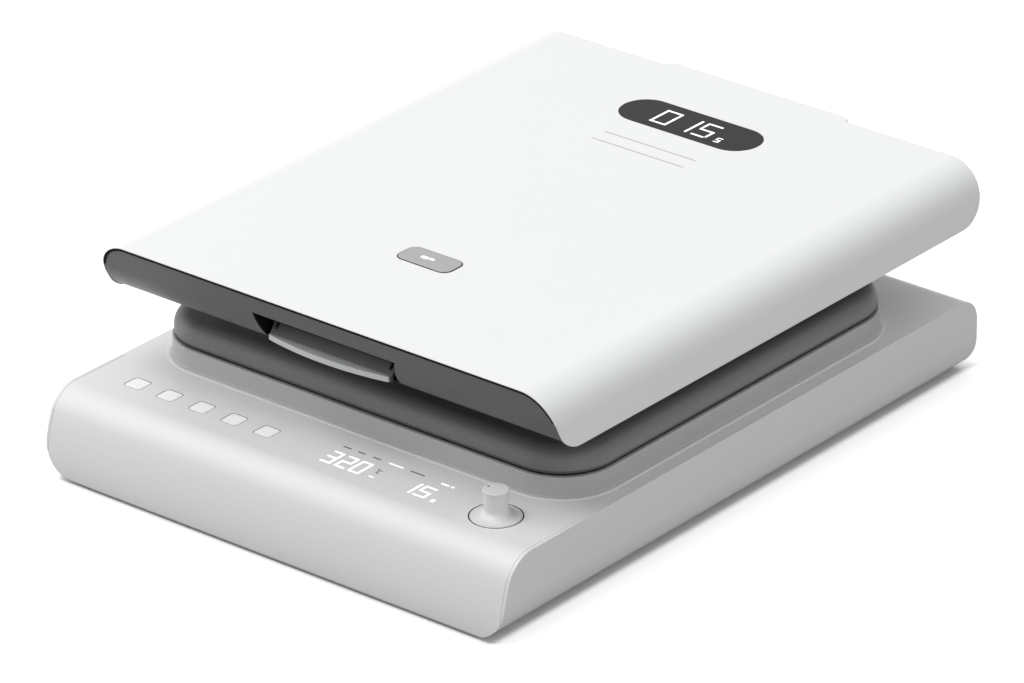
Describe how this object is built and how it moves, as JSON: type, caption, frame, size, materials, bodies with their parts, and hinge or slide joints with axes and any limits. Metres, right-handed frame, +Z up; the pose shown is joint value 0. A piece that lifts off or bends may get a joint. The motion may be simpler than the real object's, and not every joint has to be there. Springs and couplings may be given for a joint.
{
  "type": "heat press",
  "caption": "Closed automatic clamshell heat press: flat base with touch keys and knob, raised bed, hanging heating head, white lid.",
  "frame": {"origin": "middle of the footprint's bounding box, on the table", "axes": "+X to the right seen from the front, +Y to the rear, +Z up"},
  "size_m": [0.44, 0.585, 0.1733],
  "materials": {
    "white_shell": "satin moulded plastic",
    "grey_shell": "satin moulded plastic",
    "dark_shell": "fine matt moulded plastic",
    "head_cover": "satin powder coat",
    "smoked_lens": "smooth smoked acrylic",
    "key_lens": "frosted plastic",
    "silver_trim": "fine satin anodised",
    "silver_button": "satin painted plastic",
    "pad_silicone": "matt silicone",
    "foot_rubber": "matt rubber",
    "platen_coating": "non-stick coated aluminium",
    "cast_alloy": "as-cast alloy",
    "plated_steel": "zinc-plated sheet steel",
    "polished_steel": "ground and polished steel",
    "bronze": "sintered bronze",
    "gear_plastic": "acetal",
    "circuit_board": "solder resist",
    "part_body": "moulded component bodies",
    "blanket": "mineral fibre blanket",
    "black_plastic": "fine matt moulded plastic"
  },
  "bodies": {
    "base": {"base_cover": "grey_shell", "base_pan": "plated_steel", "rubber_feet": "foot_rubber", "pan_screws": "plated_steel", "bed_rim": "grey_shell", "bed_plate": "cast_alloy", "bed_pad": "pad_silicone", "bed_pillars": "plated_steel", "touch_keys": "key_lens", "knob_bezel": "silver_trim", "encoder_body": "part_body", "control_board": "circuit_board", "panel_display": "part_body", "power_inlet": "black_plastic", "inlet_pins": "polished_steel", "switch_frame": "black_plastic", "power_board": "circuit_board", "power_parts": "part_body", "hinge_brackets": "cast_alloy", "hinge_pin": "polished_steel", "hinge_springs": "plated_steel", "hinge_tower": "grey_shell", "hinge_anchor": "plated_steel", "hinge_bolts": "plated_steel"},
    "lid": {"lid_shell": "white_shell", "lid_tray": "dark_shell", "lid_screws": "plated_steel", "lid_frame": "plated_steel", "guide_bushes": "bronze", "screw_bearing": "bronze", "drive_bridge": "plated_steel", "press_motor": "plated_steel", "display_lens": "smoked_lens", "display_box": "black_plastic", "button_frame": "black_plastic", "button_switch": "part_body", "handle_pin": "polished_steel"},
    "head": {"head_housing": "head_cover", "heating_plate": "platen_coating", "heating_element": "polished_steel", "platen_studs": "plated_steel", "head_insulation": "blanket", "heat_sensor": "part_body", "head_carrier": "plated_steel", "guide_posts": "polished_steel", "press_screw": "polished_steel"},
    "nut_gear": {"nut_gear": "gear_plastic"},
    "pinion": {"motor_pinion": "polished_steel"},
    "start_button": {"start_button": "silver_button"},
    "pull_handle": {"handle_flap": "dark_shell", "handle_bar": "silver_trim"},
    "knob": {"knob": "grey_shell", "encoder_shaft": "polished_steel"},
    "rocker": {"switch_rocker": "black_plastic"}
  },
  "joints": [
    {"name": "lid_hinge", "type": "hinge", "parent": "base", "child": "lid", "pos_m": [0, 0.258, 0.108], "axis": [-1, 0, 0], "range_deg": [0, 60]},
    {"name": "head_lift", "type": "slide", "parent": "lid", "child": "head", "axis": [0, 0, 1], "range_m": [0, 0.018]},
    {"name": "nut_turn", "type": "hinge", "parent": "lid", "child": "nut_gear", "pos_m": [0, 0.0057, 0.1435], "axis": [0, 0, 1], "range_deg": [-10, 1090]},
    {"name": "pinion_turn", "type": "hinge", "parent": "lid", "child": "pinion", "pos_m": [0.05625, 0.0057, 0.1435], "axis": [0, 0, 1], "range_deg": [-4360, 40]},
    {"name": "button_press", "type": "slide", "parent": "lid", "child": "start_button", "axis": [0, 0, -1], "range_m": [0, 0.0012], "stiffness_N_per_m": 800, "springref_m": -0.002},
    {"name": "handle_pull", "type": "hinge", "parent": "lid", "child": "pull_handle", "pos_m": [0, -0.2065, 0.149], "axis": [-1, 0, 0], "range_deg": [0, 15], "stiffness_Nm_per_rad": 0.4, "springref_deg": -28.65},
    {"name": "knob_turn", "type": "hinge", "parent": "base", "child": "knob", "pos_m": [0.167, -0.2343, 0.07], "axis": [0, 0, 1], "continuous": true},
    {"name": "rocker_tilt", "type": "hinge", "parent": "base", "child": "rocker", "pos_m": [-0.12, 0.275, 0.032], "axis": [0, 0, 1], "range_deg": [0, 14]}
  ],
  "couplings": [
    {"joint": "nut_turn", "follows": "head_lift", "rad_per_m": 1047.2},
    {"joint": "pinion_turn", "follows": "head_lift", "rad_per_m": -4188.8}
  ]
}
